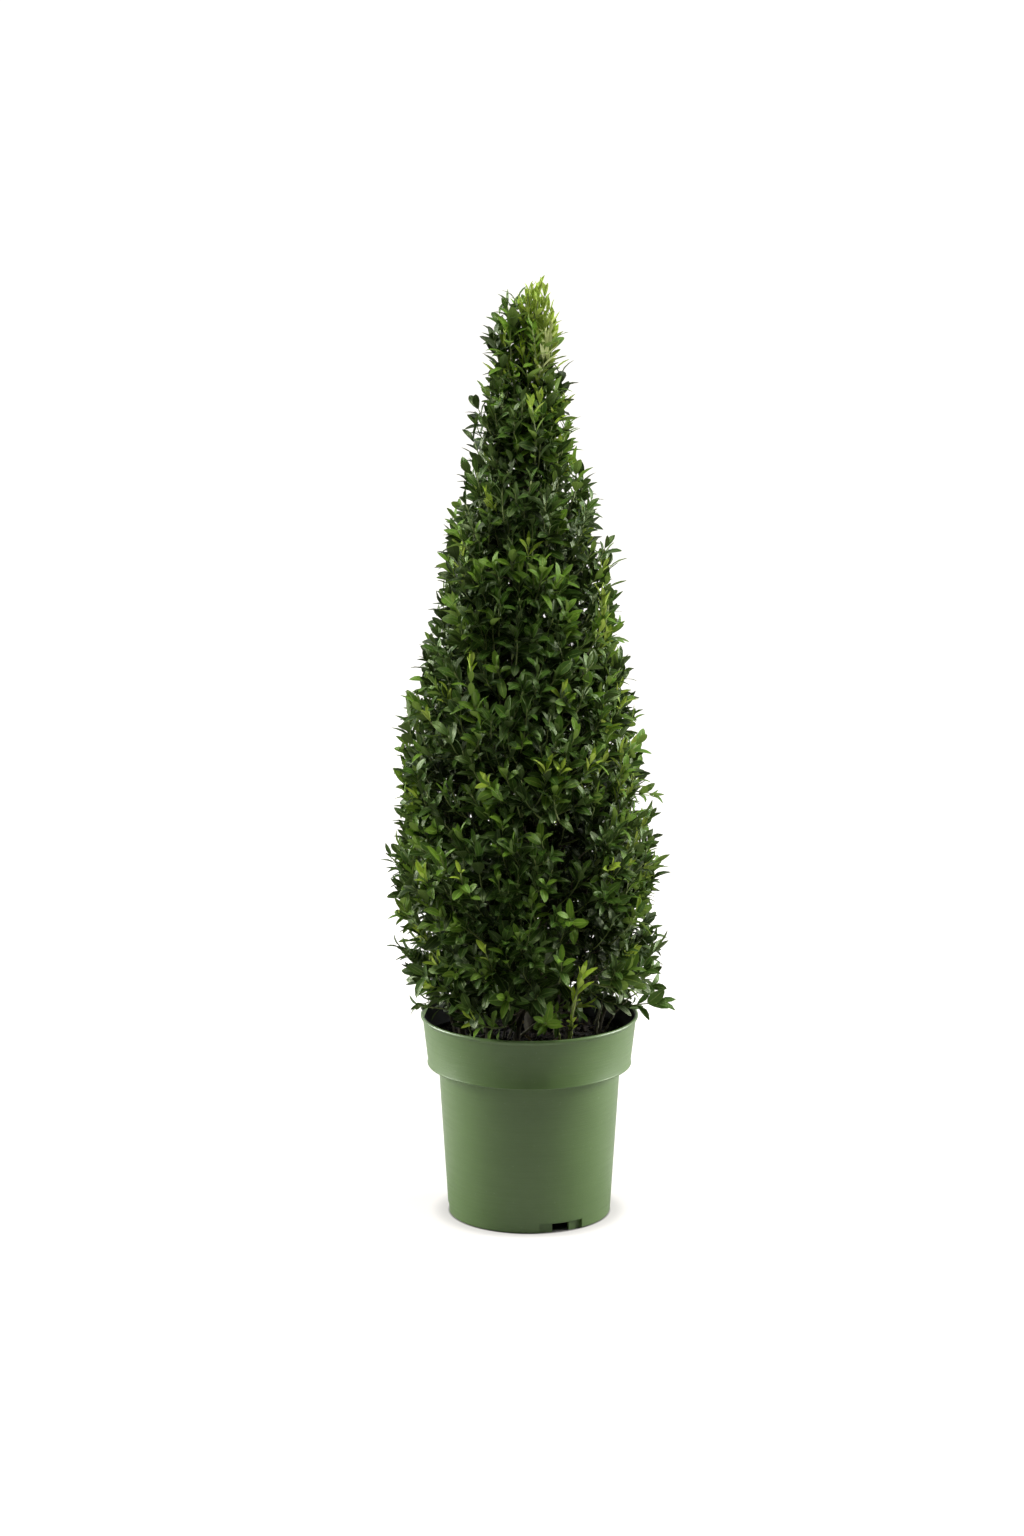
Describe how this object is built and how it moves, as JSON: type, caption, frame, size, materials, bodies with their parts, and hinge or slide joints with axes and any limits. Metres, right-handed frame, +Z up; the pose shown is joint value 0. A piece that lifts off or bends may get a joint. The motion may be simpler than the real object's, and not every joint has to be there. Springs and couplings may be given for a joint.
{
  "type": "potted boxwood cone topiary",
  "caption": "Evergreen shrub trained to a slender cone of small glossy leaves, standing in a round plastic nursery pot with a wide collar.",
  "frame": {"origin": "on the ground under the middle of the pot's foot ring", "axes": "+Z up along the pot's axis, -Y towards the front of the plant, +X to its right as seen from the front"},
  "size_m": [0.2559, 0.2481, 0.862],
  "materials": {
    "pot_plastic": "satin, moulded",
    "potting_soil": "matte, granular",
    "bark": "matte, fissured",
    "foliage": "glossy leaf",
    "young_foliage": "soft young leaf"
  },
  "bodies": {
    "root": {"nursery_pot": "pot_plastic", "potting_soil": "potting_soil", "main_stem": "bark", "side_stem_front": "bark", "side_stem_front_left": "bark", "side_stem_left": "bark", "side_stem_front_right": "bark", "side_stem_right": "bark", "side_stem_inner_right": "bark", "side_stem_back_right": "bark", "side_stem_back": "bark", "side_stem_back_left": "bark", "foliage_lower_front": "foliage", "foliage_lower_right": "foliage", "foliage_lower_back_right": "foliage", "foliage_lower_back_left": "foliage", "foliage_lower_left": "foliage", "foliage_middle_front": "foliage", "foliage_middle_right": "foliage", "foliage_middle_back": "foliage", "foliage_middle_left": "foliage", "foliage_upper_front": "foliage", "foliage_upper_back_right": "foliage", "foliage_upper_back_left": "foliage", "foliage_top": "foliage", "foliage_tip_right": "young_foliage", "foliage_tip_left": "foliage", "foliage_spray_low_right": "foliage", "foliage_spray_low_left": "foliage", "foliage_spray_side_right": "foliage"}
  },
  "joints": []
}
